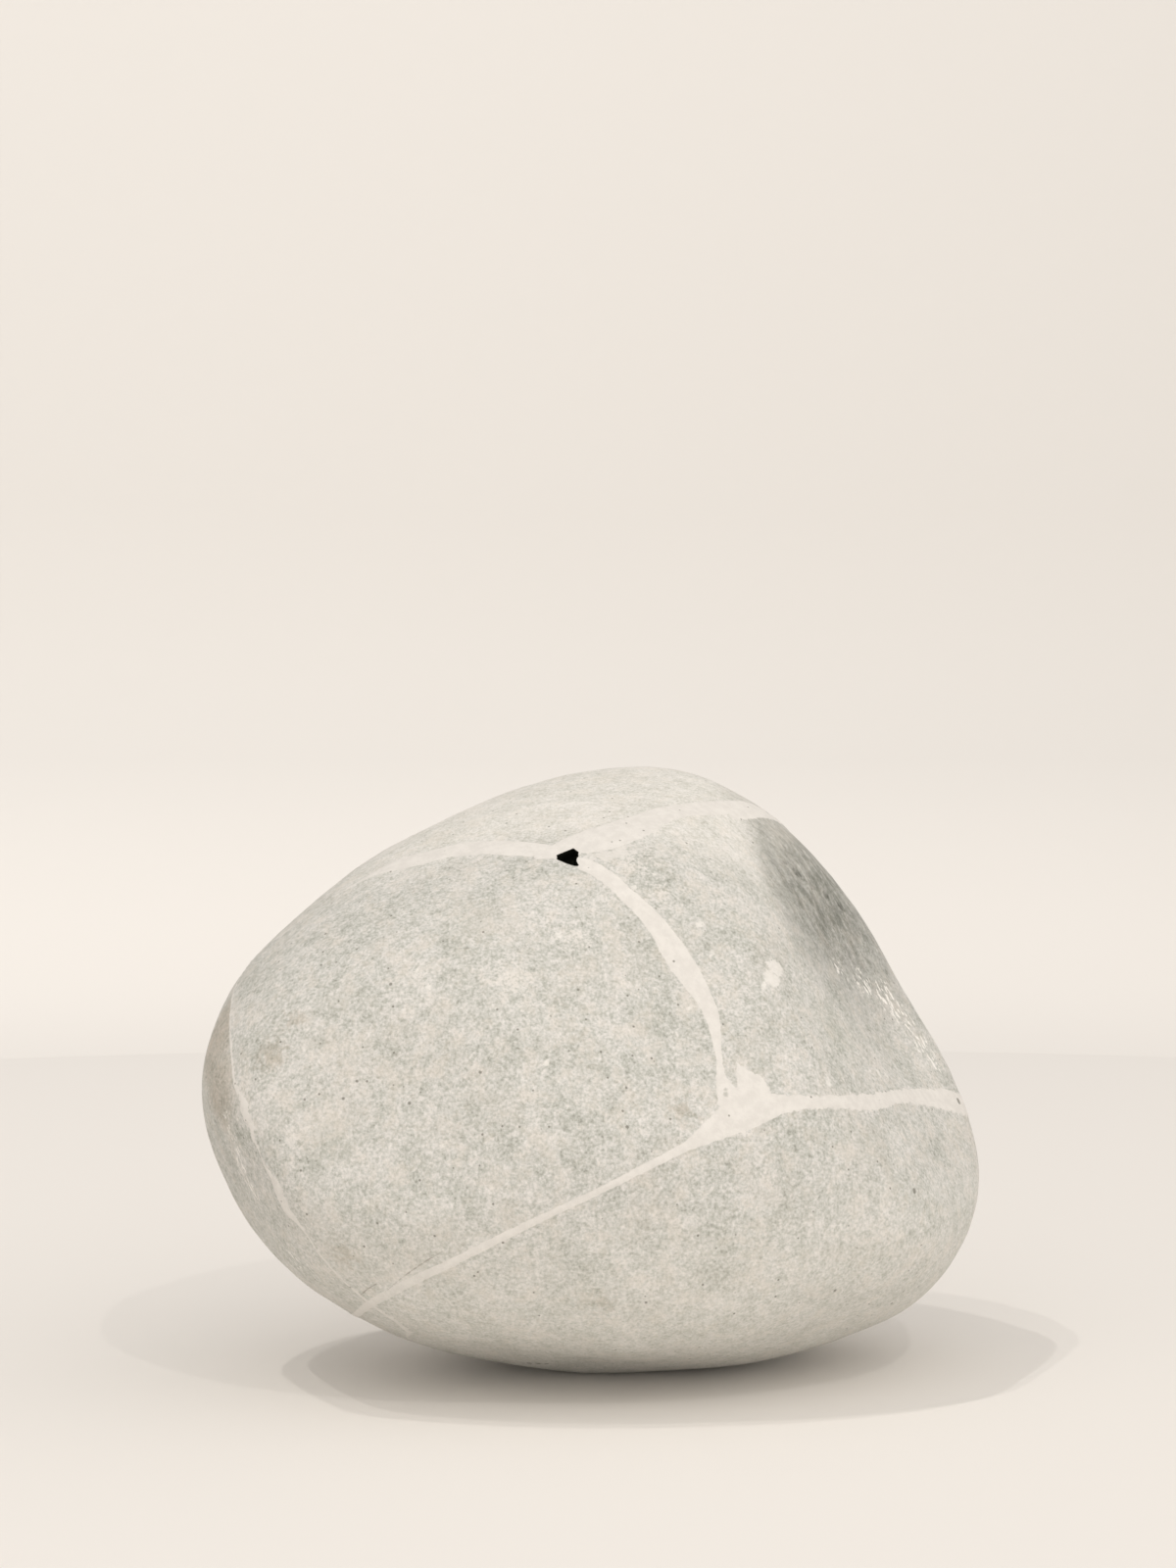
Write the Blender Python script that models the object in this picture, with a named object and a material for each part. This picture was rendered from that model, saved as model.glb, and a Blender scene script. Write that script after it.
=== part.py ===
"""River stone: one water-worn boulder with calcite veins and one small solution hole.

Metres, +Z up. X runs to the right and Y away from someone who looks at the front of the stone.
The origin is the middle of the small flat spot that it rests on.
"""

import math

import bmesh
import bpy
import numpy as np
from mathutils import Vector, noise

# Driving dimensions: the rounded body before its worn faces
MM = 0.001
MIDDLE = (-16.8 * MM, -14.9 * MM, 108.2 * MM)
# Radius of the front outline from the middle, every 15 degrees, from the right and up over the top
OUTLINE = [
    148, 133, 128, 127, 129, 131, 124, 119, 118, 123, 131, 143,
    147, 144, 132, 121, 114, 110, 111, 114, 124, 138, 156, 160,
]
HALF_DEPTH = 121 * MM
ROUNDNESS = 2.15

# How far the widest girdle lies behind the middle: the stone leans back and its left end comes forward
GIRDLE_BACK = 5 * MM
BACK_PER_RIGHT = 0.16
BACK_PER_UP = 0.18
GIRDLE_BOW = 13 * MM

# Worn faces: name, compass turn from the front towards the right, rise, depth worn away, edge softness
WORN_FACES = [
    ("front left lobe", -14, 14, 11, 4),
    ("middle panel", 16, 30, 9, 4),
    ("right end", 62, 27, 14, 3),
    ("top slope", 5, 74, 5, 5),
    ("left end strip", -66, -22, 9, 3),
    ("front foot", -4, -66, 2.5, 3),
    ("back left", -142, 18, 11, 6),
    ("back right", 132, 8, 12, 6),
    ("back top", 176, 52, 8, 6),
    ("back foot", 172, -34, 9, 6),
]

# Broad hollows and swellings: name, turn and rise of each end of its middle line, half width, and height
BROAD_FORMS = [
    ("right end hollow", (50, 46), (74, 14), 26, -5),
    ("lower right lobe", (12, -30), (56, -16), 32, 5),
    ("lower front lobe", (-36, -36), (30, -40), 24, 4),
]

# Gentle unevenness all over
SWELL_HEIGHT = 0.8 * MM
SWELL_LENGTH = 45 * MM

# The small hole where three veins meet: turn and rise of its mouth, turn and rise of its axis, and its sizes
HOLE_PLACE = (-8.4, 61.0)
HOLE_AXIS = (-4, 12)
HOLE_WIDTH = 8.7 * MM
HOLE_HEIGHT = 9 * MM
# Rim corners as shares of the half width and half height, clockwise from the left
HOLE_RIM = [
    (-1.0, 0.27), (0.35, 1.0), (0.92, 0.5), (0.78, -0.45),
    (1.0, -0.82), (0.9, -1.0), (0.05, -0.7), (-0.92, -0.2),
]
# Places along the hole's axis, outwards from its mouth, and the share of its size there
HOLE_TAPER = [(14 * MM, 1.0), (-9 * MM, 0.9), (-14 * MM, 0.7), (-16 * MM, 0.3)]

STONE_COLOUR = (0.60, 0.59, 0.53, 1.0)


def direction(turn, rise):
    """Unit vectors for a compass turn from the front towards the right, and a rise, both in degrees."""
    turn = np.radians(turn)
    rise = np.radians(rise)
    return np.array([np.sin(turn) * np.cos(rise), -np.cos(turn) * np.cos(rise), np.sin(rise)])


def outline_radius(angle):
    """The front outline's radius, a smooth closed curve through the measured radii."""
    radii = np.array(OUTLINE) * MM
    place = (angle % math.tau) / math.tau * len(radii)
    left = np.floor(place).astype(int)
    part = place - left
    before, start, end, after = (radii[(left + step) % len(radii)] for step in (-1, 0, 1, 2))
    bend = 2 * before - 5 * start + 4 * end - after
    twist = 3 * (start - end) + after - before
    return start + 0.5 * part * (end - before + part * (bend + part * twist))


def rounded_body(rays):
    """Points of the unworn boulder along each ray, measured from its middle."""
    angle = np.arctan2(rays[:, 2], rays[:, 0])
    sideways = np.hypot(rays[:, 0], rays[:, 2])
    radius = outline_radius(angle)
    across = (sideways / radius) ** ROUNDNESS + (np.abs(rays[:, 1]) / HALF_DEPTH) ** ROUNDNESS
    reach = across ** (-1 / ROUNDNESS)
    points = rays * reach[:, None]
    share = sideways * reach / radius
    bow = GIRDLE_BOW * share**2 * (1 - np.cos(2 * angle))
    points[:, 1] += GIRDLE_BACK + BACK_PER_RIGHT * points[:, 0] + BACK_PER_UP * points[:, 2] + bow
    return points


def wear_faces(points):
    """Grinds each worn face into the body, with a soft edge round it."""
    for _name, turn, rise, depth, softness in WORN_FACES:
        outward = direction(turn, rise)
        height = points @ outward
        level = height.max() - depth * MM
        soft = softness * MM
        above = soft * np.logaddexp(0, (height - level) / soft)
        points = points - above[:, None] * outward
    return points


def shape_broad_forms(points, rays):
    """Raises or lowers the surface along the arc between the two ends of each broad form."""
    for _name, first, last, half_width, height in BROAD_FORMS:
        start = direction(*first)
        run = direction(*last) - start
        along = np.clip((rays - start) @ run / (run @ run), 0, 1)
        nearest = start + along[:, None] * run
        nearest /= np.linalg.norm(nearest, axis=1)[:, None]
        distance = np.linalg.norm(rays - nearest, axis=1) * np.linalg.norm(points, axis=1)
        rise = height * MM * np.exp(-((distance / (half_width * MM)) ** 2))
        points = points + rays * rise[:, None]
    return points


def swell(points, rays):
    """Adds the slow unevenness that running water leaves."""
    heights = [noise.noise(Vector(point) / SWELL_LENGTH) * SWELL_HEIGHT for point in points]
    return points + rays * np.array(heights)[:, None]


def stone_mesh():
    """The body as a closed mesh, cut level at the flat spot."""
    mesh = bpy.data.meshes.new("river_stone")
    shape = bmesh.new()
    bmesh.ops.create_icosphere(shape, subdivisions=5, radius=1.0)
    rays = np.array([vert.co[:] for vert in shape.verts])
    rays /= np.linalg.norm(rays, axis=1)[:, None]
    points = swell(shape_broad_forms(wear_faces(rounded_body(rays)), rays), rays)
    for vert, point in zip(shape.verts, points):
        vert.co = Vector(point) + Vector(MIDDLE)
    everything = shape.verts[:] + shape.edges[:] + shape.faces[:]
    cut = bmesh.ops.bisect_plane(
        shape, geom=everything, plane_co=(0, 0, 0), plane_no=(0, 0, -1), clear_outer=True
    )
    rim = [item for item in cut["geom_cut"] if isinstance(item, bmesh.types.BMEdge)]
    bmesh.ops.contextual_create(shape, geom=rim)
    bmesh.ops.recalc_face_normals(shape, faces=shape.faces[:])
    shape.to_mesh(mesh)
    shape.free()
    mesh.shade_smooth()
    return mesh


def hole_cutter(mouth):
    """A plug of the hole's angular cross-section, tapered towards the hole's end."""
    outward = Vector(direction(*HOLE_AXIS))
    right = Vector((0, 0, 1)).cross(outward).normalized()
    upward = outward.cross(right)
    shape = bmesh.new()
    rings = []
    for along, share in HOLE_TAPER:
        half_width = HOLE_WIDTH / 2 * share
        half_height = HOLE_HEIGHT / 2 * share
        corners = [outward * along + right * x * half_width + upward * y * half_height for x, y in HOLE_RIM]
        rings.append([shape.verts.new(mouth + corner) for corner in corners])
    for outer, inner in zip(rings, rings[1:]):
        for k in range(len(outer)):
            shape.faces.new((outer[k - 1], outer[k], inner[k], inner[k - 1]))
    shape.faces.new(rings[0])
    shape.faces.new(rings[-1])
    bmesh.ops.recalc_face_normals(shape, faces=shape.faces[:])
    mesh = bpy.data.meshes.new("hole_cutter")
    shape.to_mesh(mesh)
    shape.free()
    cutter = bpy.data.objects.new("hole_cutter", mesh)
    cutter.hide_render = True
    cutter.display_type = "WIRE"
    bpy.context.scene.collection.objects.link(cutter)
    return cutter


def cut_hole(body):
    """Cuts the hole into the body where the ray from its middle to the hole's place comes out."""
    bpy.context.view_layer.update()
    _hit, mouth, _normal, _face = body.ray_cast(Vector(MIDDLE), Vector(direction(*HOLE_PLACE)))
    cut = body.modifiers.new("hole", "BOOLEAN")
    cut.operation = "DIFFERENCE"
    cut.solver = "EXACT"
    cut.object = hole_cutter(mouth)


def stone_material():
    """Fine-grained greenish grey limestone, matte from long rolling."""
    material = bpy.data.materials.new("river_stone")
    material.use_nodes = True
    shader = material.node_tree.nodes["Principled BSDF"]
    shader.inputs["Base Color"].default_value = STONE_COLOUR
    shader.inputs["Roughness"].default_value = 0.85
    shader.inputs["Metallic"].default_value = 0.0
    return material


def clear_scene():
    for item in list(bpy.data.objects):
        bpy.data.objects.remove(item, do_unlink=True)


clear_scene()
stone = bpy.data.objects.new("river_stone", stone_mesh())
stone.data.materials.append(stone_material())
bpy.context.scene.collection.objects.link(stone)
cut_hole(stone)
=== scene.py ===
import math

import bpy
import numpy as np
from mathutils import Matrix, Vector
from mathutils.bvhtree import BVHTree
from mathutils.kdtree import KDTree


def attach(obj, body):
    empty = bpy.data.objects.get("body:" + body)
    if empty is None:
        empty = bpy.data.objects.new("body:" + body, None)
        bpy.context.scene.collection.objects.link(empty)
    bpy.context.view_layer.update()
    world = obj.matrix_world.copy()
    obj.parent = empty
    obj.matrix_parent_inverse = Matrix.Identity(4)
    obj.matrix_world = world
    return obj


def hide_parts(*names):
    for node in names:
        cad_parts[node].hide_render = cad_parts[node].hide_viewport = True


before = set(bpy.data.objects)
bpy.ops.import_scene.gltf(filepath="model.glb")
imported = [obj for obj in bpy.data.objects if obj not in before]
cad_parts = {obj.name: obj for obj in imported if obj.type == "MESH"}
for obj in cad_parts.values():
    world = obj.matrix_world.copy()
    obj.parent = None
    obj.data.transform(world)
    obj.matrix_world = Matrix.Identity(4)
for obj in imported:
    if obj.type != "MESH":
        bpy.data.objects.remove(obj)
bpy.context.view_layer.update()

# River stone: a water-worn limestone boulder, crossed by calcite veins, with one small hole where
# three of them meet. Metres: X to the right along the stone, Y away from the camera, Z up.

MM = 0.001


# Camera: it stood level, 1.14 m in front of the stone's middle and 225 mm above the floor.
# look() follows a pixel of the 1200 x 1600 photograph out from it, on to the stone.
PHOTO_WIDTH = 1200
PHOTO_HEIGHT = 1600
FOCAL_PIXELS = 3000
SENSOR_MM = 36
EYE = Vector((-16.8, -1153.9, 225.3)) * MM

bpy.ops.object.camera_add(location=EYE, rotation=(math.pi / 2, 0, 0))
camera = bpy.context.object
camera.data.sensor_width = SENSOR_MM
camera.data.lens = SENSOR_MM * FOCAL_PIXELS / PHOTO_HEIGHT
bpy.context.scene.camera = camera


def look(surface, x, y):
    """The point of a surface that a pixel of the photograph shows, or None."""
    ray = Vector(((x - PHOTO_WIDTH / 2) / FOCAL_PIXELS, 1, (PHOTO_HEIGHT / 2 - y) / FOCAL_PIXELS))
    return surface.ray_cast(EYE, ray.normalized())[0]


# The boulder: one piece of fine-grained limestone, broken from its bed along old cracks and rolled
# in a river until every edge was round. It is worn flat in one small spot, and lies on that.
MIDDLE = Vector((-16.8, -14.9, 108.2)) * MM
# Points nearer together than this are one point, and faces lower than this are the flat spot
WELD = 0.01 * MM
FLAT_SPOT = 0.05 * MM
# The hole: turn and rise from the boulder's middle to its mouth, turn and rise of its axis, and
# pixels of the skin on both sides of it
HOLE_PLACE = (-8.4, 61.0)
HOLE_AXIS = (-4, 12)
BESIDE_HOLE = [(562, 874), (598, 874)]
# A face is in the hole if it is this near the axis, this far below the skin, and this near the mouth
HOLE_REACH = 6.5 * MM
HOLE_SKIN = 1.0 * MM
HOLE_LENGTH = 25 * MM
CLOSED_HOLE_RISE = 0.5 * MM
ROUNDING = 2


def direction(turn, rise):
    """Unit vector for a compass turn from the front towards the right, and a rise, both in degrees."""
    turn = math.radians(turn)
    rise = math.radians(rise)
    return Vector((math.sin(turn) * math.cos(rise), -math.cos(turn) * math.cos(rise), math.sin(rise)))


def select_only(piece):
    bpy.ops.object.select_all(action="DESELECT")
    piece.select_set(True)
    bpy.context.view_layer.objects.active = piece


def select_parts(piece, kind, chosen):
    """Selects the chosen vertices or faces of a piece and nothing else, ready for edit mode."""
    mesh = piece.data
    for parts in (mesh.vertices, mesh.edges, mesh.polygons):
        parts.foreach_set("select", np.zeros(len(parts), bool))
    parts = mesh.vertices if kind == "VERT" else mesh.polygons
    parts.foreach_set("select", np.array(chosen, bool))
    bpy.ops.object.mode_set(mode="EDIT")
    bpy.ops.mesh.select_mode(type=kind)


def poke_polygons(piece, rise):
    """Puts a point in the middle of each face of four sides or more, raised to keep the skin round."""
    select_parts(piece, "FACE", [len(face.vertices) > 3 for face in piece.data.polygons])
    bpy.ops.mesh.poke(offset=rise)
    bpy.ops.object.mode_set(mode="OBJECT")


def apply_modifier(piece, kind, **settings):
    """Adds one modifier to a piece and applies it at once."""
    select_only(piece)
    modifier = piece.modifiers.new(kind.lower(), kind)
    for name, value in settings.items():
        setattr(modifier, name, value)
    bpy.ops.object.modifier_apply(modifier=modifier.name)


def surface_of(piece):
    return BVHTree.FromObject(piece, bpy.context.evaluated_depsgraph_get())


def vertex_places(piece):
    """The places of a piece's vertices, one row each."""
    places = np.zeros(len(piece.data.vertices) * 3, np.float32)
    piece.data.vertices.foreach_get("co", places)
    return places.reshape(-1, 3).astype(float)


cad_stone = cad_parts["river_stone"]
boulder = bpy.data.objects.new("veined_boulder", cad_stone.data.copy())
bpy.context.scene.collection.objects.link(boulder)
select_only(boulder)
bpy.ops.mesh.customdata_custom_splitnormals_clear()
bpy.ops.object.mode_set(mode="EDIT")
bpy.ops.mesh.select_all(action="SELECT")
bpy.ops.mesh.remove_doubles(threshold=WELD)
bpy.ops.object.mode_set(mode="OBJECT")

# Close the plain hole, which is cut again below in the finished skin
outward = direction(*HOLE_PLACE)
hole_axis = direction(*HOLE_AXIS)
cad_skin = surface_of(boulder)
plain_mouth = (look(cad_skin, *BESIDE_HOLE[0]) + look(cad_skin, *BESIDE_HOLE[1])) / 2
inside_hole = []
for face in boulder.data.polygons:
    offset = face.center - plain_mouth
    near_axis = (offset - hole_axis * offset.dot(hole_axis)).length < HOLE_REACH
    below_skin = offset.dot(outward) < -HOLE_SKIN
    inside_hole.append(near_axis and below_skin and offset.length < HOLE_LENGTH)
select_parts(boulder, "FACE", inside_hole)
bpy.ops.mesh.delete(type="FACE")
bpy.ops.mesh.select_mode(type="VERT")
bpy.ops.mesh.select_non_manifold(extend=False)
bpy.ops.mesh.edge_face_add()
bpy.ops.mesh.dissolve_verts()
bpy.ops.object.mode_set(mode="OBJECT")
poke_polygons(boulder, CLOSED_HOLE_RISE)

# Make the flat spot one face with a point in its middle, and round off the facets
select_parts(boulder, "FACE", [face.center.z < FLAT_SPOT for face in boulder.data.polygons])
bpy.ops.mesh.dissolve_faces()
bpy.ops.object.mode_set(mode="OBJECT")
poke_polygons(boulder, 0)
apply_modifier(boulder, "SUBSURF", levels=ROUNDING, render_levels=ROUNDING)
skin = surface_of(boulder)


# The veins: old cracks that hot water filled with calcite, long before the river wore the stone.
# They are sheets through the whole boulder, so each goes on round the sides that the photograph
# hides. Each has how ragged its edges are in mm, where the photograph shows it (pixel x, pixel y,
# width in pixels), and its way before and after that (turn, rise, width in mm).
VEINS = {
    "upper_left": dict(
        ragged=0.35,
        seen=[
            (568, 869, 11), (540, 867, 15), (523, 866, 16), (501, 865, 14), (480, 866, 14),
            (458, 869, 12), (437, 875, 12), (416, 880, 11), (400, 885, 8), (384, 891, 4),
        ],
        after=[(-76, 38, 1.2), (-79, 26, 0.8)],
    ),
    "crest": dict(
        ragged=0.5,
        seen=[
            (583, 864, 20), (609, 857, 38), (630, 850, 33), (648, 843, 26), (665, 835.5, 20),
            (684, 829.5, 16), (702, 826.5, 14), (725, 825, 15), (754, 825, 15), (780, 829, 11),
        ],
        after=[(100, 61, 6), (119, 50, 6), (135, 36, 5), (148, 22, 4.5), (162, 8, 3.5), (176, -4, 2)],
    ),
    "middle": dict(
        ragged=0.3,
        seen=[
            (598, 883, 15), (619, 895, 15), (639, 913, 16), (660, 933, 18), (677, 954, 22),
            (690, 975, 26), (703, 995, 24), (716, 1015, 19), (727, 1039, 15), (731, 1062, 10),
            (734, 1083, 7), (736, 1100, 12), (745, 1122, 28),
        ],
    ),
    "fork": dict(
        ragged=0.3,
        seen=[(700, 1170, 10), (730, 1152, 26), (762, 1133, 40), (795, 1127, 22)],
    ),
    "peak": dict(
        ragged=0.4,
        seen=[(753, 1086, 3), (759, 1097, 17), (766, 1109, 34), (768, 1122, 38), (770, 1134, 12)],
    ),
    "right": dict(
        ragged=0.9,
        seen=[
            (795, 1127, 22), (824, 1125.5, 15), (842, 1125, 14), (865, 1125, 15), (889, 1124.5, 19),
            (912, 1119.5, 15), (941, 1120, 18), (965, 1123, 22), (980, 1127, 26),
        ],
        after=[
            (116, -6, 7), (136, -9, 6), (158, -13, 5), (178, -15, 5), (-162, -16, 4),
            (-142, -15, 3), (-124, -12, 2), (-108, -8, 1),
        ],
    ),
    "lower": dict(
        ragged=0.2,
        seen=[
            (700, 1170, 10), (659, 1191, 9), (618, 1212, 8), (573, 1233, 8), (517, 1260, 9),
            (461, 1288, 9), (421, 1307, 10), (392, 1322, 9),
        ],
        after=[(-58, -38, 3), (-82, -43, 3), (-108, -45, 2.5), (-135, -43, 2), (-155, -38, 1)],
    ),
    "left": dict(
        ragged=1.1,
        before=[(-141, 2, 0.5), (-130, 11, 0.7), (-116, 19, 0.7), (-100, 23, 0.6), (-86, 21, 0.5)],
        seen=[
            (239, 1012, 1.5), (236, 1035, 1.8), (236, 1060, 2.2), (238, 1085, 2.5),
            (241, 1107, 3.5), (248, 1122, 7), (251, 1136, 10), (257, 1147, 7), (259, 1162, 4),
            (264, 1172, 2.2), (270, 1188, 2.5), (279, 1203, 5), (285, 1216, 8), (294, 1235, 7),
            (302, 1244, 5), (310, 1255, 2.2), (323, 1274, 1.8), (340, 1295, 1.6), (360, 1315, 2.2),
            (382, 1333, 2.5), (404, 1348, 3), (416, 1358, 3),
        ],
        after=[(-52, -46, 1), (-61, -58, 1), (-82, -66, 0.8)],
    ),
    "back_upper": dict(
        ragged=0.3,
        before=[(-150, 66, 0.7), (-168, 44, 1.0), (176, 24, 0.8), (170, 6, 0.6)],
    ),
    "back_left": dict(
        ragged=0.3,
        before=[(-112, 52, 0.6), (-128, 34, 0.9), (-148, 14, 0.9), (-160, -8, 0.7)],
    ),
}
# Hairline cracks beside the lower vein, with dirt in them, as places in the photograph
CRACKS = {
    "short": [(368.5, 1321, 1), (377, 1314, 1.6), (385.5, 1309, 1)],
    "long": [(394, 1317, 0.4), (410, 1304, 0.9), (436, 1286, 1), (455, 1275, 0.4)],
}
# The step from sample to sample of a line. Past its end a line narrows by a share of the distance,
# and beyond its reach, which keeps it off the other side of the boulder, it fades out.
SAMPLE_STEP = 0.8 * MM
END_TAPER = 0.35
VEIN_REACH = 15 * MM
REACH_FADE = 2
# Where the skin is seen at a slant a width in pixels says little, so half a vein is at most this
WIDEST_HALF = 9 * MM
# The mesh is made finer in the veins and this far beside them, so that their edges can stand out
FINE_MARGIN = 2.5 * MM


def seen_places(surface, places):
    """Points of the boulder under places in the photograph, each with half its width there."""
    rows = []
    for k, (x, y, width) in enumerate(places):
        before = Vector(places[max(k - 1, 0)][:2])
        after = Vector(places[min(k + 1, len(places) - 1)][:2])
        sideways = (after - before).orthogonal().normalized() * width / 2
        run = (look(surface, *after) - look(surface, *before)).normalized()
        edges = [look(surface, x + sign * sideways.x, y + sign * sideways.y) for sign in (-1, 1)]
        if None in edges:
            half = rows[-1][3]
        else:
            gap = edges[1] - edges[0]
            half = min((gap - run * gap.dot(run)).length / 2, WIDEST_HALF)
        rows.append((*look(surface, x, y), half))
    return rows


def hidden_places(surface, places):
    """Points of the boulder in the given directions from its middle, each with half its width there."""
    rows = []
    for turn, rise, width in places:
        point = surface.ray_cast(MIDDLE, direction(turn, rise))[0]
        rows.append((*point, width * MM / 2))
    return rows


def smooth_samples(rows):
    """A smooth curve through rows of numbers, sampled at short even steps."""
    rows = np.array(rows)
    gaps = np.linalg.norm(np.diff(rows[:, :3], axis=0), axis=1)
    steps = np.diff(rows, axis=0) / gaps[:, None]
    slopes = np.vstack([steps[:1], steps, steps[-1:]])
    weights = np.concatenate([[1], gaps, [1]])[:, None]
    blends = slopes[:-1] * weights[1:] + slopes[1:] * weights[:-1]
    slopes = blends / (weights[1:] + weights[:-1])
    samples = []
    for start, gap in enumerate(gaps):
        part = np.linspace(0, 1, max(2, int(gap / SAMPLE_STEP)), endpoint=False)[:, None]
        first, last = rows[start], rows[start + 1]
        lead, trail = slopes[start] * gap, slopes[start + 1] * gap
        samples.append(
            first * (1 + 2 * part) * (1 - part) ** 2
            + lead * part * (1 - part) ** 2
            + last * part**2 * (3 - 2 * part)
            + trail * part**2 * (part - 1)
        )
    return np.vstack([*samples, rows[-1:]])


def line_on(surface, seen, before=(), after=()):
    """Sample points, half widths, running directions and sideways directions of a line on the skin."""
    rows = hidden_places(surface, before) + seen_places(surface, seen) + hidden_places(surface, after)
    samples = smooth_samples(rows)
    landed = [surface.find_nearest(Vector(row[:3]))[:2] for row in samples]
    points = np.array([point[:] for point, _normal in landed])
    normals = np.array([normal[:] for _point, normal in landed])
    runs = np.gradient(points, axis=0)
    runs /= np.linalg.norm(runs, axis=1)[:, None]
    sideways = np.cross(runs, normals)
    sideways /= np.linalg.norm(sideways, axis=1)[:, None]
    return points, samples[:, 3], runs, sideways


def measure_from(line, places):
    """How far to the side of a line each place is, and half the line's width beside it."""
    points, halves, runs, sideways = line
    tree = KDTree(len(points))
    for index, point in enumerate(points):
        tree.insert(point, index)
    tree.balance()
    nearest = np.array([tree.find(place)[1] for place in places])
    offset = places - points[nearest]
    side = np.einsum("ij,ij->i", offset, sideways[nearest])
    past_end = np.abs(np.einsum("ij,ij->i", offset, runs[nearest]))
    far = np.clip(np.linalg.norm(offset, axis=1) - VEIN_REACH, 0, None)
    half = halves[nearest] - END_TAPER * past_end - REACH_FADE * far
    return side, half


def vein_depths(places):
    """How far inside a vein each place is; outside all veins it is negative."""
    depths = []
    for line in vein_lines.values():
        side, half = measure_from(line, places)
        depths.append(half - np.abs(side))
    return np.max(depths, axis=0)


vein_lines = {}
for name, vein in VEINS.items():
    vein_lines[name] = line_on(skin, vein.get("seen", ()), vein.get("before", ()), vein.get("after", ()))

select_parts(boulder, "VERT", vein_depths(vertex_places(boulder)) > -FINE_MARGIN)
bpy.ops.mesh.subdivide(number_cuts=1)
bpy.ops.object.mode_set(mode="OBJECT")


# The hole: water has dissolved a small angular pocket where three veins meet. It is cut with a
# rough plug, which leaves its walls a material of their own.
HOLE_WIDTH = 8.7 * MM
HOLE_HEIGHT = 9 * MM
# Corners of the mouth as shares of half its width and half its height, clockwise from the left
HOLE_RIM = [
    (-1.15, 0.2), (0.4, 1.02), (0.98, 0.5), (0.8, -0.4),
    (1.12, -0.95), (0.95, -1.1), (0.05, -0.72), (-1.0, -0.25),
]
# Places along the axis, in mm outwards from the mouth, and the share of the hole's size there
HOLE_TAPER = [(14, 1.0), (-9, 0.9), (-14, 0.7), (-16, 0.3)]
HOLE_CORNER = 0.3 * MM
CORNER_CUTS = 2
WALL_CUTS = 4
# Name, size in mm, octaves and height in mm of a noise
HOLE_LUMPS = ("hole_lumps", 3.5, 2, 0.7)


def roughen(piece, name, size, octaves, height, **settings):
    """Raises and lowers the surface of a piece by a soft noise."""
    noise = bpy.data.textures.new(name, "CLOUDS")
    noise.noise_scale = size * MM
    noise.noise_depth = octaves
    apply_modifier(
        piece, "DISPLACE", texture=noise, strength=height * MM, texture_coords="LOCAL", **settings
    )


mouth = skin.ray_cast(MIDDLE, outward)[0]
rightward = Vector((0, 0, 1)).cross(hole_axis).normalized()
upward = hole_axis.cross(rightward)
bpy.ops.mesh.primitive_circle_add(vertices=len(HOLE_RIM), fill_type="NGON")
plug = bpy.context.object
plug.name = "hole_plug"
middle_of_ring = mouth + hole_axis * HOLE_TAPER[0][0] * MM
for vertex, (x, y) in zip(plug.data.vertices, HOLE_RIM):
    vertex.co = middle_of_ring + rightward * x * HOLE_WIDTH / 2 + upward * y * HOLE_HEIGHT / 2
bpy.ops.object.mode_set(mode="EDIT")
bpy.ops.mesh.select_all(action="SELECT")
for (last, last_share), (along, share) in zip(HOLE_TAPER, HOLE_TAPER[1:]):
    inwards = hole_axis * (along - last) * MM
    bpy.ops.mesh.extrude_region_move(TRANSFORM_OT_translate={"value": inwards})
    smaller = share / last_share
    bpy.ops.transform.resize(value=(smaller,) * 3, center_override=mouth + hole_axis * along * MM)
bpy.ops.mesh.select_all(action="SELECT")
bpy.ops.mesh.normals_make_consistent(inside=False)
bpy.ops.mesh.bevel(offset=HOLE_CORNER, segments=CORNER_CUTS)
bpy.ops.mesh.subdivide(number_cuts=WALL_CUTS)
bpy.ops.object.mode_set(mode="OBJECT")
roughen(plug, *HOLE_LUMPS)

lining = bpy.data.materials.new("dark_pocket_lining")
plug.data.materials.append(lining)
limestone = bpy.data.materials.new("river_worn_limestone")
boulder.data.materials.clear()
boulder.data.materials.append(limestone)
apply_modifier(
    boulder, "BOOLEAN", operation="DIFFERENCE", solver="EXACT", object=plug, material_mode="TRANSFER"
)
bpy.data.objects.remove(plug)


# The skin: slow swells left by rolling, finer dents from knocks, and the harder veins standing a
# little proud, all cut by the same river. The flat spot stays flat.
# Noises: name, size in mm, octaves, height in mm
SWELLS = [("swells", 22, 1, 0.6), ("dents", 7, 1, 0.22)]
VEIN_HEIGHT = 0.3 * MM
VEIN_SHOULDER = 0.8 * MM
FOOT_CLEAR = 3 * MM
WEIGHT_STEPS = 20
SMOOTH_ANGLE = 50


def weigh(piece, name, weights):
    """Puts a weight from 0 to 1 on every vertex of a piece, in a group for a modifier to follow."""
    group = piece.vertex_groups.new(name=name)
    steps = np.round(np.clip(weights, 0, 1) * WEIGHT_STEPS) / WEIGHT_STEPS
    for step in np.unique(steps[steps > 0]):
        group.add(np.nonzero(steps == step)[0].tolist(), float(step), "REPLACE")


places = vertex_places(boulder)
above_floor = places[:, 2] / FOOT_CLEAR
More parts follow.
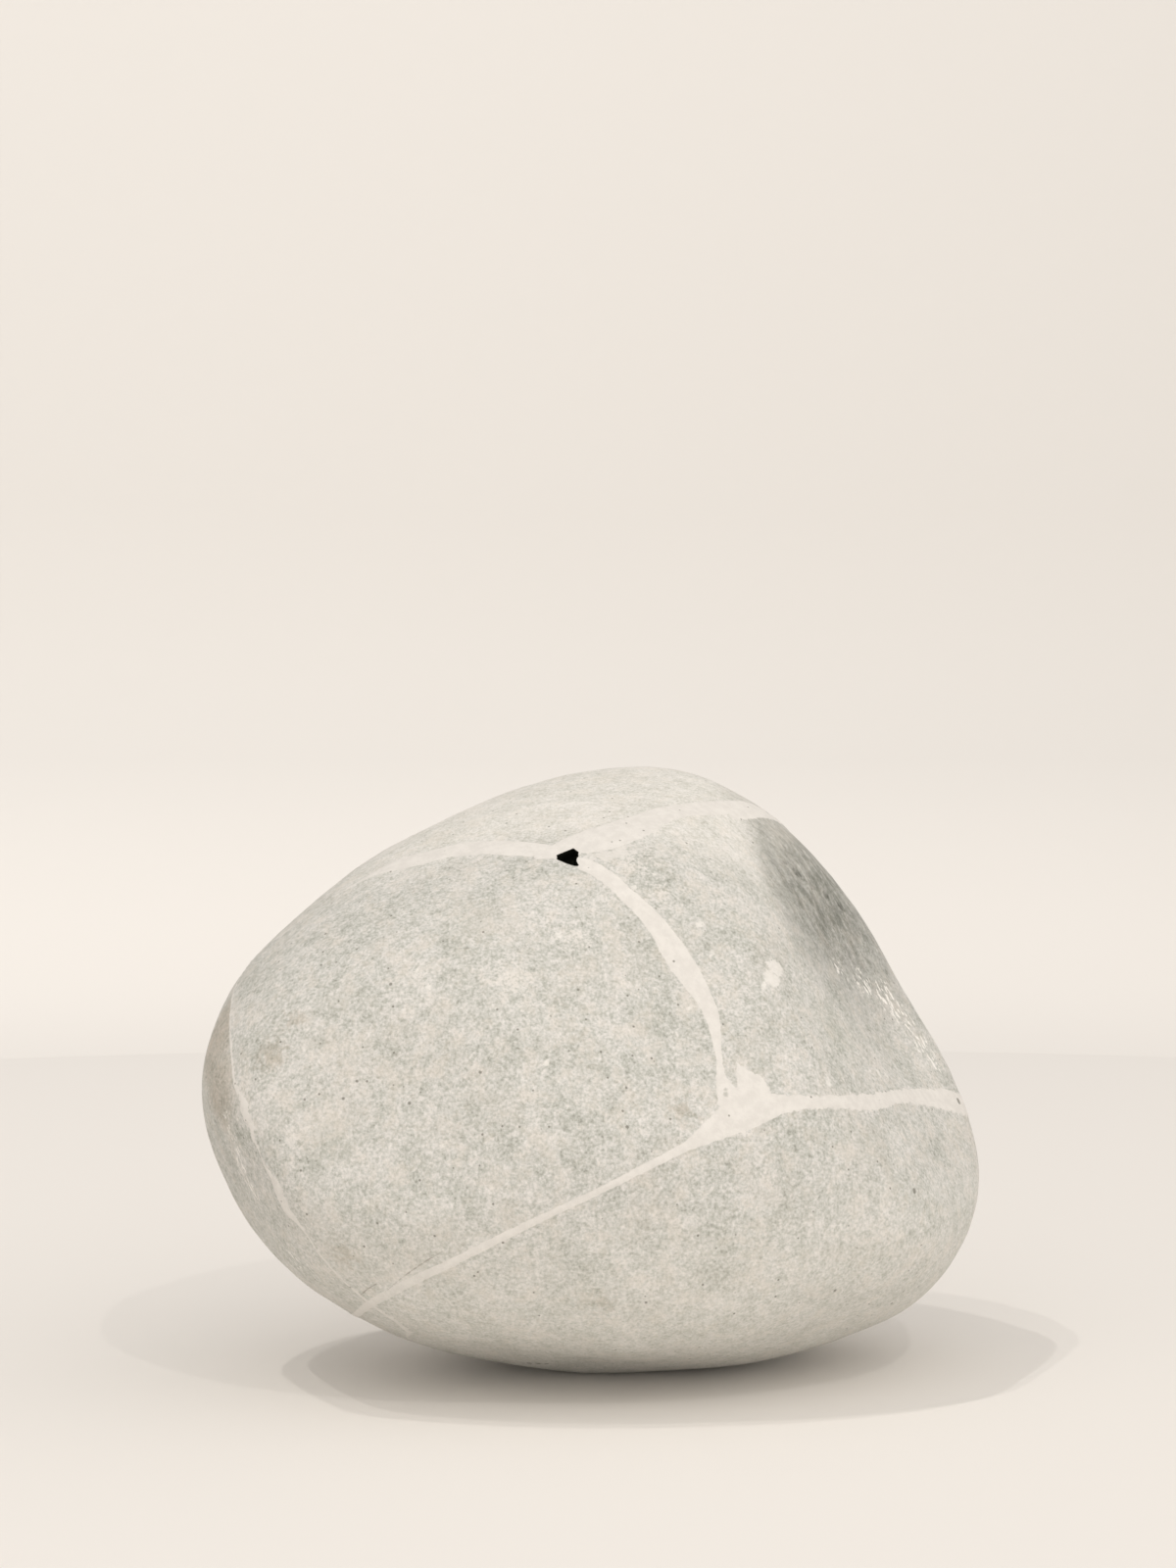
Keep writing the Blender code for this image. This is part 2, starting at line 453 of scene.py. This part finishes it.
# A vein's shoulder rises across its edge, and is half up on the edge itself
up_shoulder = vein_depths(places) / VEIN_SHOULDER + 0.5
weigh(boulder, "above_floor", above_floor)
weigh(boulder, "vein_relief", np.minimum(up_shoulder, above_floor))
for swell in SWELLS:
    roughen(boulder, *swell, vertex_group="above_floor")
apply_modifier(boulder, "DISPLACE", strength=VEIN_HEIGHT, mid_level=0, vertex_group="vein_relief")
boulder.vertex_groups.clear()
select_only(boulder)
bpy.ops.object.shade_smooth_by_angle(angle=math.radians(SMOOTH_ANGLE))

# Measures of the veins, the cracks and the stain go on the mesh for the material: how far to the
# side of the line a point is, half the line's width, and how ragged the edge is, all in mm.
# A thin vein is less ragged, by a share of half its width, or it would break up.
RAGGED_SHARE = 0.7
CRACK_RAGGED = 0.25
# The worn edge along which the stain begins
STAIN_EDGE = [
    (757, 842, 1), (775, 890, 1), (790, 925, 1), (806, 958, 1), (822, 992, 1), (850, 1045, 1),
]


def keep_measures(piece, name, side, half, ragged):
    """Puts a line's measures on the vertices of a piece, as an attribute of that name."""
    attribute = piece.data.attributes.new(name, "FLOAT_VECTOR", "POINT")
    measures = np.stack([side / MM, half / MM, ragged], 1)
    attribute.data.foreach_set("vector", measures.astype(np.float32).ravel())


places = vertex_places(boulder)
for name, line in vein_lines.items():
    side, half = measure_from(line, places)
    ragged = np.clip(RAGGED_SHARE * half / MM, 0, VEINS[name]["ragged"])
    keep_measures(boulder, "vein_" + name, side, half, ragged)
for name, seen in CRACKS.items():
    side, half = measure_from(line_on(skin, seen), places)
    keep_measures(boulder, "crack_" + name, side, half, np.full(len(side), CRACK_RAGGED))
side, half = measure_from(line_on(skin, STAIN_EDGE), places)
keep_measures(boulder, "stain", -side, half, np.zeros(len(side)))


# The rock: compact limestone, ground matt by the river. To the eye it is a chalky greenish grey,
# peppered with paler and darker grains about 1 mm wide, in soft mottles of cream, with a few dark
# pores. Each pattern below is a mask from 0 to 1, and the layers at the end give it its colour.
def linear(colour):
    """A linear colour from an sRGB hex value."""
    channels = [int(colour[start:start + 2], 16) / 255 for start in (1, 3, 5)]
    return (*[c / 12.92 if c <= 0.04045 else ((c + 0.055) / 1.055) ** 2.4 for c in channels], 1)


def node(tree, kind, inputs=None, output=0, **settings):
    """Adds one shader node and gives one of its outputs. An input takes a value or another output."""
    made = tree.nodes.new("ShaderNode" + kind)
    for name, value in settings.items():
        setattr(made, name, value)
    for name, value in (inputs or {}).items():
        if isinstance(value, bpy.types.NodeSocket):
            tree.links.new(value, made.inputs[name])
        else:
            made.inputs[name].default_value = value
    return made.outputs[output] if made.outputs else None


def per(size):
    """The scale of a pattern whose features are this many millimetres apart."""
    return 1 / (size * MM)


# Inputs and output of Blender's Mix node for colours, which share their names with others
FACTOR = 0
FIRST = 6
SECOND = 7
MIXED = 2
# The setting that makes a Map Range node change softly from one value to the other
SOFTLY = {"interpolation_type": "SMOOTHSTEP"}
# A depth in mm that is outside everything
OUTSIDE = -1000.0

limestone.use_nodes = True
rock = limestone.node_tree
rock.nodes.clear()
place = node(rock, "TexCoord", output="Object")

# Fine noise from -1 to 1 that breaks up the edges of veins, cracks and spots
edge_noise = node(
    rock, "TexNoise", {"Vector": place, "Scale": per(2.6), "Detail": 3, "Roughness": 0.65}, "Fac"
)
edge_shift = node(
    rock, "MapRange", {"Value": edge_noise, "From Min": 0.3, "From Max": 0.7, "To Min": -1, "To Max": 1},
    clamp=False,
)


def depth_inside(names):
    """How deep inside the nearest of the named lines each point is, in mm."""
    deepest = OUTSIDE
    for name in names:
        measures = node(rock, "Attribute", output="Vector", attribute_name=name)
        side, half, ragged = node(rock, "SeparateXYZ", {"Vector": measures}).node.outputs
        off_middle = node(rock, "Math", {0: side}, operation="ABSOLUTE")
        inside = node(rock, "Math", {0: half, 1: off_middle}, operation="SUBTRACT")
        inside = node(rock, "Math", {0: edge_shift, 1: ragged, 2: inside}, operation="MULTIPLY_ADD")
        deepest = node(rock, "Math", {0: deepest, 1: inside}, operation="MAXIMUM")
    return deepest


def in_spots(spots, ragged, start, full):
    """A mask of soft round spots, each given by its pixel and its radius in pixels. How ragged their
    edges are, and how deep inside them the mask starts and is full, are in mm."""
    deepest = OUTSIDE
    for x, y, radius in spots:
        middle = look(skin, x, y)
        radius_mm = radius * (middle.y - EYE.y) / FOCAL_PIXELS / MM
        away = node(rock, "VectorMath", {0: place, 1: middle}, "Value", operation="DISTANCE")
        inside = node(rock, "Math", {0: away, 1: -1 / MM, 2: radius_mm}, operation="MULTIPLY_ADD")
        deepest = node(rock, "Math", {0: deepest, 1: inside}, operation="MAXIMUM")
    depth = node(rock, "Math", {0: edge_shift, 1: ragged, 2: deepest}, operation="MULTIPLY_ADD")
    return node(rock, "MapRange", {"Value": depth, "From Min": start, "From Max": full}, **SOFTLY)


# Broad mottles, clusters of grains and single grains: size in mm, octaves, and share in the tone
SPECKLE = [(16, 3, 0.55), (5, 1, 0.3), (2.4, 1, 0.45), (1.1, 1, 0.85)]
# The rock's own colour, from its darkest grains to its palest
ROCK_TONES = [(0.1, "#8e8e85"), (0.36, "#b1b1a9"), (0.5, "#c0bfb9"), (0.66, "#cfccc7"), (0.9, "#dedad5")]
MIDDLE_TONE = 0.5

tone = MIDDLE_TONE
for size, octaves, share in SPECKLE:
    speckle = node(
        rock, "TexNoise", {"Vector": place, "Scale": per(size), "Detail": octaves, "Roughness": 0.7},
        "Fac",
    )
    centred = node(rock, "Math", {0: speckle, 1: MIDDLE_TONE}, operation="SUBTRACT")
    tone = node(rock, "Math", {0: centred, 1: share, 2: tone}, operation="MULTIPLY_ADD")
colour = node(rock, "ValToRGB", {"Fac": tone}, "Color")
stops = colour.node.color_ramp.elements
for index, (position, tint) in enumerate(ROCK_TONES):
    stop = stops[index] if index < len(stops) else stops.new(position)
    stop.position = position
    stop.color = linear(tint)

# Broad warm drifts, and brown patches a few millimetres wide, no paler or darker than the rock
warm_noise = node(
    rock, "TexNoise", {"Vector": place, "Scale": per(24), "Detail": 6, "Roughness": 0.75}, "Fac"
)
warmth = node(rock, "MapRange", {"Value": warm_noise, "From Min": 0.5, "From Max": 0.68, "To Max": 0.35})
patch_noise = node(
    rock, "TexNoise", {"Vector": place, "Scale": per(8), "Detail": 5, "Roughness": 0.7}, "Fac"
)
patches = node(rock, "MapRange", {"Value": patch_noise, "From Min": 0.47, "From Max": 0.66}, **SOFTLY)

# Streaks that run down the right end: squeezed along them, the coordinates draw a noise out
STREAK = Vector((0.50, -0.11, -0.86))
STREAK_SQUEEZE = -0.6
along_streak = node(rock, "VectorMath", {0: place, 1: STREAK}, "Value", operation="DOT_PRODUCT")
back_along = node(rock, "Math", {0: along_streak, 1: STREAK_SQUEEZE}, operation="MULTIPLY")
squeeze = node(rock, "VectorMath", {0: STREAK, "Scale": back_along}, operation="SCALE")
streaked = node(rock, "VectorMath", {0: place, 1: squeeze}, operation="ADD")
streak_noise = node(
    rock, "TexNoise", {"Vector": streaked, "Scale": per(3.5), "Detail": 4, "Roughness": 0.75}, "Fac"
)
streaks = node(
    rock, "MapRange",
    {"Value": streak_noise, "From Min": 0.3, "From Max": 0.7, "To Min": 1.45, "To Max": 0.45},
)

# The grey stain on the right end begins along a worn edge and fades outwards, with darker blots in it
STAIN_MIDDLE = (840, 912)
STAIN_RAGGED = 1.5
STAIN_BLOTS = [(813, 892, 7), (829, 908, 6), (843, 914, 8), (858, 926, 9), (800, 880, 5)]
stain_measures = node(rock, "Attribute", output="Vector", attribute_name="stain")
stain_side = node(rock, "SeparateXYZ", {"Vector": stain_measures}, "X")
stain_side = node(rock, "Math", {0: edge_shift, 1: STAIN_RAGGED, 2: stain_side}, operation="MULTIPLY_ADD")
beyond_edge = node(rock, "MapRange", {"Value": stain_side, "From Min": -5, "From Max": 9}, **SOFTLY)
from_middle = node(
    rock, "VectorMath", {0: place, 1: look(skin, *STAIN_MIDDLE)}, "Value", operation="DISTANCE"
)
near_middle = node(
    rock, "MapRange", {"Value": from_middle, "From Min": 80 * MM, "From Max": 2 * MM}, **SOFTLY
)
blots = in_spots(STAIN_BLOTS, ragged=2.5, start=0, full=3)

# The strip beyond the left vein is browner, and painted darker as painted shade where it turns away to
# the left, most of all at mid height
LEFT_STRIP = [(222, 1060, 70), (222, 1110, 60)]
left_measures = node(rock, "Attribute", output="Vector", attribute_name="vein_left")
left_side = node(rock, "SeparateXYZ", {"Vector": left_measures}, "X")
beyond_vein = node(rock, "MapRange", {"Value": left_side, "From Min": -1, "From Max": 2}, **SOFTLY)
left_strip_brown_and_shade = in_spots(LEFT_STRIP, ragged=1, start=0, full=16)

# The crest and the back are painted paler and warmer, as painted light from above, and the rock low down
# is painted paler, as painted light under the lower front
_across, back, up = node(rock, "SeparateXYZ", {"Vector": place}).node.outputs
towards_back = node(rock, "MapRange", {"Value": back, "From Min": -62 * MM, "From Max": -38 * MM})
painted_top_light = node(rock, "MapRange", {"Value": up, "From Min": 165 * MM, "From Max": 205 * MM})
painted_low_light = node(rock, "MapRange", {"Value": up, "From Min": 85 * MM, "From Max": 25 * MM})

# Broad clouds of painted shade, browner and paler clouds, and a paler haze beside the place where the
# veins meet
PAINTED_SHADE_SPOTS = [(850, 1050, 58), (335, 1165, 40), (478, 945, 40)]
BROWN_CLOUDS = [(277, 1076, 26), (300, 1040, 18), (698, 1132, 20), (352, 1278, 22), (615, 1330, 20)]
PALE_CLOUDS = [
    (652, 880, 34), (672, 905, 26), (520, 1000, 30), (590, 955, 28), (274, 1104, 22), (300, 1165, 20),
    (425, 995, 20), (569, 954, 16), (583, 970, 14), (620, 878, 14), (648, 876, 18),
]
JUNCTION_HAZE = [(604, 874, 9), (618, 873, 13), (634, 869, 14), (648, 865, 9)]
painted_shade_clouds = in_spots(PAINTED_SHADE_SPOTS, ragged=3, start=0, full=22)
brown_clouds = in_spots(BROWN_CLOUDS, ragged=5, start=0, full=8)
pale_clouds = in_spots(PALE_CLOUDS, ragged=4, start=0, full=12)
pale_grains = node(rock, "MapRange", {"Value": tone, "From Min": 0.42, "From Max": 0.6}, **SOFTLY)
junction_haze = in_spots(JUNCTION_HAZE, ragged=2.5, start=-0.5, full=3)

# White calcite spots, and places where flecks of it are drawn out as the streaks are
WHITE_SPOTS = [
    (791, 987, 11), (788, 999, 11), (779, 1006, 5), (714, 942, 5), (727, 971.5, 4), (569, 954, 4),
    (582, 969, 2.5), (414, 980, 3), (426, 992, 4), (437, 1006, 4), (448, 1019, 3), (845, 1104, 5),
    (897, 1095.5, 5), (905, 1098, 4), (251, 1134, 3.5), (257, 1146, 2.5), (283, 1212, 3.5),
    (290, 1226, 4), (298, 1240, 3), (275, 1197, 2), (668, 893, 4), (646, 906, 4), (703, 1028, 3),
    (558, 1085, 3.2), (452, 1170, 3),
]
FLECKED = [
    (856, 988, 10), (880, 1002, 15), (903, 1016, 19), (922, 1040, 20), (940, 1064, 18), (953, 1082, 14),
    (232, 1142, 13), (236, 1158, 13), (243, 1174, 15), (248, 1192, 16), (255, 1210, 13), (262, 1222, 9),
    (302, 1287, 12),
]
white_spots = in_spots(WHITE_SPOTS, ragged=1.1, start=-0.3, full=1.2)
flecked = in_spots(FLECKED, ragged=3, start=-2, full=2.5)
fleck_noise = node(
    rock, "TexNoise", {"Vector": streaked, "Scale": per(1.3), "Detail": 1, "Roughness": 0.5}, "Fac"
)
flecks = node(rock, "MapRange", {"Value": fleck_noise, "From Min": 0.53, "From Max": 0.6}, **SOFTLY)

# Dark pores: pits too small for the mesh, with painted shade in them. The plain ones that the photograph
# shows, and smaller ones all over, about 7 mm apart
PORES = [
    (399, 1004, 1.7), (332, 953, 1.7), (364, 1103, 1.7), (418, 1126, 1.6), (490, 1094, 1.6),
    (684, 1142, 1.7), (639, 1110, 1.6), (933, 1215, 3), (852, 1317, 1.7), (910, 1330, 1.7),
    (659, 1329, 1.7), (977, 1124, 4), (540, 1391, 3), (549, 1391, 3), (558, 1391, 2.5),
    (385, 1248, 1.6), (350, 1121, 1.6), (311, 1122, 1.5), (640, 1150, 1.5), (590, 1010, 1.4),
    (530, 1150, 1.5),
]
plain_pore_shade = in_spots(PORES, ragged=0.25, start=-0.2, full=0.25)
from_pore = node(rock, "TexVoronoi", {"Vector": place, "Scale": per(7)}, "Distance")
small_pore_shade = node(rock, "MapRange", {"Value": from_pore, "From Min": 0.085, "From Max": 0.045}, **SOFTLY)
painted_pore_shade = node(rock, "Math", {0: plain_pore_shade, 1: small_pore_shade}, operation="MAXIMUM")

# The hairline cracks, and nicks of bare rock in the vein near the fork
VEIN_NICKS = [(740, 1117, 3.2), (739.5, 1112, 2.6)]
crack_depth = depth_inside(["crack_" + name for name in CRACKS])
cracks = node(rock, "MapRange", {"Value": crack_depth, "From Min": -0.25, "From Max": 0.2}, **SOFTLY)
nicks = in_spots(VEIN_NICKS, ragged=0.5, start=-0.2, full=0.6)

# The veins: milky calcite in two near whites. The lower one grows faint where it meets the stone's edge.
FAINT_PLACE = [(408, 1312, 60)]
FAINTNESS = 0.3
vein_depth = depth_inside(["vein_" + name for name in VEINS])
vein_edge = node(rock, "MapRange", {"Value": vein_depth, "From Min": -0.2, "From Max": 0.35}, **SOFTLY)
in_faint_place = in_spots(FAINT_PLACE, ragged=0, start=0, full=18)
not_faint = node(rock, "Math", {0: in_faint_place, 1: -FAINTNESS, 2: 1}, operation="MULTIPLY_ADD")
veins = node(rock, "Math", {0: vein_edge, 1: not_faint}, operation="MULTIPLY")
vein_noise = node(
    rock, "TexNoise", {"Vector": place, "Scale": per(4), "Detail": 4, "Roughness": 0.7}, "Fac"
)
vein_clouds = node(rock, "MapRange", {"Value": vein_noise, "From Min": 0.35, "From Max": 0.65}, **SOFTLY)
vein_colour = node(
    rock, "Mix", {FACTOR: vein_clouds, FIRST: linear("#d1cdc7"), SECOND: linear("#d9d5cf")}, MIXED,
    data_type="RGBA",
)

# Layers over the rock's own colour, from the lowest up: masks that are multiplied together, the
# layer's strength, its colour, and how it is blended
layers = [
    ([warmth], 0.8, linear("#cec6bd"), "MIX"),
    ([patches], 0.28, linear("#c8bfb1"), "MIX"),
    # painted light on the crest and the top towards the back
    ([towards_back, painted_top_light], 1, linear("#817b72"), "SCREEN"),
    # painted shade in broad soft clouds
    ([painted_shade_clouds], 0.7, linear("#eceeea"), "MULTIPLY"),
    ([brown_clouds], 0.7, linear("#dedad2"), "MULTIPLY"),
    ([beyond_edge, near_middle, streaks], 0.85, linear("#a3a5a1"), "MULTIPLY"),
    ([blots], 0.5, linear("#77766f"), "MULTIPLY"),
    # a brown tint with painted shade on the strip beyond the left vein
    ([beyond_vein, left_strip_brown_and_shade], 0.6, linear("#d8cec2"), "MULTIPLY"),
    ([pale_clouds, pale_grains], 0.55, linear("#dad5ce"), "MIX"),
    ([flecked, flecks], 0.85, linear("#ece8e2"), "MIX"),
    ([white_spots], 0.7, linear("#e2ded8"), "MIX"),
    ([junction_haze], 0.75, linear("#d4d0ca"), "MIX"),
    ([veins], 1, vein_colour, "MIX"),
    # painted light on the rock low down, where the lower front turns under
    ([painted_low_light], 1, linear("#7d7c74"), "SCREEN"),
    ([cracks], 0.6, linear("#857f74"), "MIX"),
    ([nicks], 0.7, linear("#aaa9a1"), "MIX"),
    # painted shade in the pores
    ([painted_pore_shade], 0.75, linear("#6c6a60"), "MIX"),
]
for masks, strength, tint, blend in layers:
    share = strength
    for mask in masks:
        share = node(rock, "Math", {0: share, 1: mask}, operation="MULTIPLY")
    colour = node(
        rock, "Mix", {FACTOR: share, FIRST: colour, SECOND: tint}, MIXED, data_type="RGBA",
        blend_type=blend,
    )

# The grains stand out from the ground surface, less so in the veins, which are smoother
VEIN_SMOOTHNESS = 0.6
grain = node(
    rock, "TexNoise", {"Vector": place, "Scale": per(1.3), "Detail": 2, "Roughness": 0.6}, "Fac"
)
grain_share = node(rock, "Math", {0: veins, 1: -VEIN_SMOOTHNESS, 2: 1}, operation="MULTIPLY_ADD")
grain_height = node(rock, "Math", {0: grain, 1: grain_share}, operation="MULTIPLY")
relief = node(rock, "Bump", {"Height": grain_height, "Distance": 0.35 * MM, "Strength": 1})
stone_shader = node(
    rock, "BsdfPrincipled",
    {"Base Color": colour, "Normal": relief, "Roughness": 0.88, "Specular IOR Level": 0.3},
)
node(rock, "OutputMaterial", {"Surface": stone_shader})

# The pocket's lining: raw rock that the river never ground, dark with the dirt it has caught. To
# the eye it is a dull olive black.
lining.use_nodes = True
pocket = lining.node_tree
pocket.nodes.clear()
pocket_place = node(pocket, "TexCoord", output="Object")
pocket_noise = node(pocket, "TexNoise", {"Vector": pocket_place, "Scale": per(2.5), "Detail": 3}, "Fac")
pocket_colour = node(
    pocket, "Mix", {FACTOR: pocket_noise, FIRST: linear("#2a2d24"), SECOND: linear("#3c3d33")}, MIXED,
    data_type="RGBA",
)
pocket_shader = node(
    pocket, "BsdfPrincipled", {"Base Color": pocket_colour, "Roughness": 0.9, "Specular IOR Level": 0.2}
)
node(pocket, "OutputMaterial", {"Surface": pocket_shader})

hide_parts("river_stone")
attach(boulder, "root")


# Floor and backdrop: smooth plaster in a pale matt paint. The floor is a wide disc, and far behind
# the stone a sweep rises from it, which the camera sees but which takes no part in the light.
# Sizes here are in metres.
FLOOR_COLOUR = linear("#e7e3de")
WALL_COLOUR = linear("#d5d2ce")
WALL_FADE = 0.25
FLOOR_RADIUS = 6
CIRCLE_SIDES = 96
SWEEP_START = 1.35
SWEEP_LIFT = 0.2 * MM
SWEEP_CURVE = 0.5
SWEEP_TOP = 1.4
SWEEP_STEPS = 8

plaster = bpy.data.materials.new("pale_floor_plaster")
plaster.use_nodes = True
floor_shader = plaster.node_tree.nodes["Principled BSDF"]
floor_shader.inputs["Base Color"].default_value = FLOOR_COLOUR
floor_shader.inputs["Roughness"].default_value = 0.9
floor_shader.inputs["Specular IOR Level"].default_value = 0.2

# The wall's paint blends from the floor's colour to its own over its lowest part
wall_paint = plaster.copy()
wall_paint.name = "pale_wall_paint"
wall = wall_paint.node_tree
wall_place = node(wall, "TexCoord", output="Object")
wall_height = node(wall, "SeparateXYZ", {"Vector": wall_place}, "Z")
up_wall = node(wall, "MapRange", {"Value": wall_height, "From Min": 0, "From Max": WALL_FADE})
wall_colour = node(
    wall, "Mix", {FACTOR: up_wall, FIRST: FLOOR_COLOUR, SECOND: WALL_COLOUR}, MIXED, data_type="RGBA"
)
wall.links.new(wall_colour, wall.nodes["Principled BSDF"].inputs["Base Color"])

bpy.ops.mesh.primitive_circle_add(
    vertices=CIRCLE_SIDES, radius=FLOOR_RADIUS, fill_type="NGON", location=(0, 0, 0)
)
floor = bpy.context.object
floor.name = "studio_floor"
floor.data.materials.append(plaster)

bpy.ops.mesh.primitive_circle_add(
    vertices=CIRCLE_SIDES, radius=SWEEP_START, location=(0, 0, SWEEP_LIFT)
)
sweep = bpy.context.object
sweep.name = "studio_sweep"
bpy.ops.object.mode_set(mode="EDIT")
bpy.ops.mesh.select_all(action="SELECT")
last_radius = SWEEP_START
last_height = 0
for step in range(1, SWEEP_STEPS + 1):
    angle = math.pi / 2 * step / SWEEP_STEPS
    radius = SWEEP_START + SWEEP_CURVE * math.sin(angle)
    height = SWEEP_CURVE * (1 - math.cos(angle))
    wider = radius / last_radius
    bpy.ops.mesh.extrude_edges_move(TRANSFORM_OT_translate={"value": (0, 0, height - last_height)})
    bpy.ops.transform.resize(value=(wider, wider, 1), center_override=(0, 0, 0))
    last_radius = radius
    last_height = height
bpy.ops.mesh.extrude_edges_move(TRANSFORM_OT_translate={"value": (0, 0, SWEEP_TOP - last_height)})
bpy.ops.mesh.select_all(action="SELECT")
bpy.ops.mesh.normals_make_consistent(inside=True)
bpy.ops.object.mode_set(mode="OBJECT")
bpy.ops.object.shade_smooth()
sweep.data.materials.append(wall_paint)
sweep.visible_diffuse = False
sweep.visible_glossy = False
sweep.visible_shadow = False


# Light: small ceiling spots, two on the left and one on the right, give the two faint shadows on
# the floor. The rest is soft light from a pale room, brightest low down in front and on the right.
# Lamps: name, place in metres, watts
LAMPS = [
    ("left_spot", (-1.08, -0.37, 3.20), 48),
    ("far_left_spot", (-1.52, -0.72, 3.41), 48),
    ("right_spot", (1.01, -2.23, 2.65), 35),
]
LAMP_RADIUS = 0.03
LIGHT_COLOUR = (1.033, 0.997, 0.958)
# Soft light: compass turn from the front towards the right, elevation, strength
ROOM_LIGHT = [
    (0, 12, 0.75), (45, 12, 0.80), (90, 12, 0.70), (135, 12, 0.52), (180, 12, 0.28), (225, 12, 0.32),
    (270, 12, 0.38), (315, 12, 0.55), (0, 50, 0.42), (90, 50, 0.36), (180, 50, 0.18), (270, 50, 0.20),
    (0, 90, 0.26),
]
LOW_LIGHT = [(-45, 3, 0.70), (0, 3, 0.75), (45, 3, 0.70)]
# The higher the power, the narrower the part of the room that each soft light comes from
ROOM_POWER = 4
LOW_POWER = 20

for name, spot, watts in LAMPS:
    bpy.ops.object.light_add(type="POINT", location=spot)
    lamp = bpy.context.object
    lamp.name = name
    lamp.data.energy = watts
    lamp.data.shadow_soft_size = LAMP_RADIUS
    lamp.data.color = LIGHT_COLOUR

world = bpy.data.worlds.new("soft_room_light")
bpy.context.scene.world = world
world.use_nodes = True
room = world.node_tree
room.nodes.clear()
outlook = node(room, "TexCoord", output="Generated")
light = 0.0
lobes = [(*lobe, ROOM_POWER) for lobe in ROOM_LIGHT] + [(*lobe, LOW_POWER) for lobe in LOW_LIGHT]
for turn, elevation, strength, power in lobes:
    towards = direction(turn, elevation)
    facing = node(room, "VectorMath", {0: outlook, 1: towards}, "Value", operation="DOT_PRODUCT")
    facing = node(room, "Math", {0: facing, 1: 0}, operation="MAXIMUM")
    lobe = node(room, "Math", {0: facing, 1: power}, operation="POWER")
    light = node(room, "Math", {0: lobe, 1: strength, 2: light}, operation="MULTIPLY_ADD")
background = node(room, "Background", {"Color": (*LIGHT_COLOUR, 1), "Strength": light})
node(room, "OutputWorld", {"Surface": background})

bpy.context.scene.view_settings.view_transform = "Standard"
